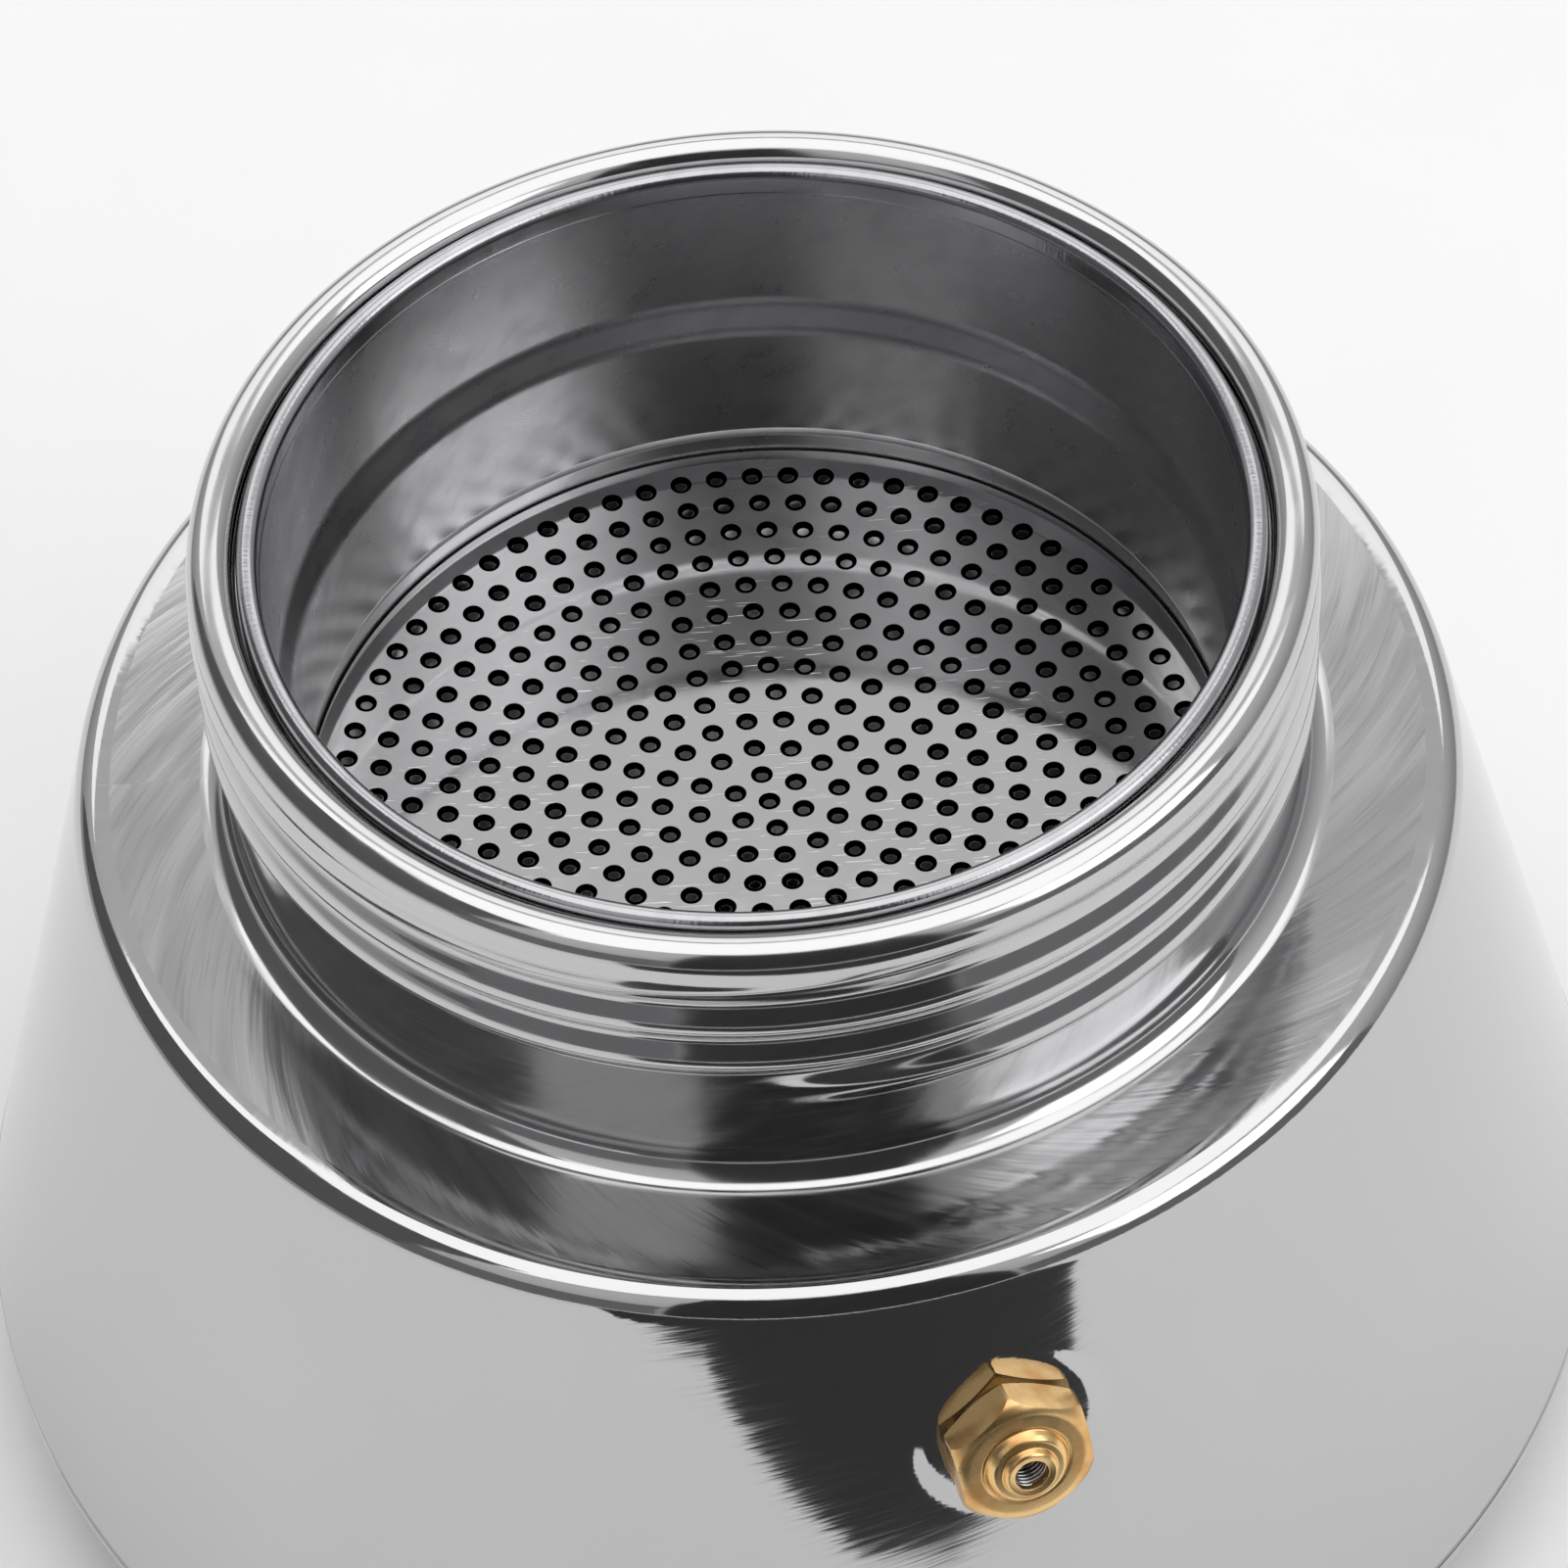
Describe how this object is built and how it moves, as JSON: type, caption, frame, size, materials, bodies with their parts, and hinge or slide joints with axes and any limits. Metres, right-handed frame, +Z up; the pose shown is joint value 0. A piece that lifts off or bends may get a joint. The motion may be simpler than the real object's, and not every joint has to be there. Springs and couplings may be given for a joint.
{
  "type": "moka pot base",
  "caption": "Opened lower half of a stainless steel moka pot: conical boiler with a threaded neck, lift-out funnel basket with perforated plate, and brass safety valve.",
  "frame": {"origin": "centre of the underside of the base, on the table", "axes": "+Z up along the boiler's axis; -Y towards the side with the safety valve, which lies 14.8 degrees round from -Y towards +X"},
  "size_m": [0.132, 0.132, 0.0872],
  "materials": {
    "boiler_steel": "mirror polished stainless steel, brushed on the neck and shoulder",
    "base_steel": "satin stainless steel",
    "core_aluminium": "cast",
    "funnel_steel": "satin, finely brushed",
    "plate_steel": "semi-gloss with fine scratches",
    "valve_brass": "turned, slightly aged",
    "spring_steel": "drawn wire and polished ball",
    "washer": "matt pale silicone"
  },
  "bodies": {
    "boiler": {"base_cap": "base_steel", "base_core": "core_aluminium", "boiler_floor": "boiler_steel", "boiler_shell": "boiler_steel", "valve_outer_washer": "washer", "valve_body": "valve_brass", "valve_seat": "valve_brass", "valve_inner_washer": "washer", "valve_nut": "valve_brass", "valve_spring": "spring_steel"},
    "funnel": {"funnel_cup": "funnel_steel", "funnel_tube": "funnel_steel", "filter_plate": "plate_steel"},
    "valve_poppet": {"valve_ball": "spring_steel"}
  },
  "joints": [
    {"name": "funnel_lift", "type": "slide", "parent": "boiler", "child": "funnel", "axis": [0, 0, 1], "range_m": [0, 0.09]},
    {"name": "valve_lift", "type": "slide", "parent": "boiler", "child": "valve_poppet", "axis": [0.2471, -0.9354, 0.2529], "range_m": [0, 0.0008], "stiffness_N_per_m": 560, "springref_m": -0.002, "deforming": ["valve_spring"]}
  ]
}
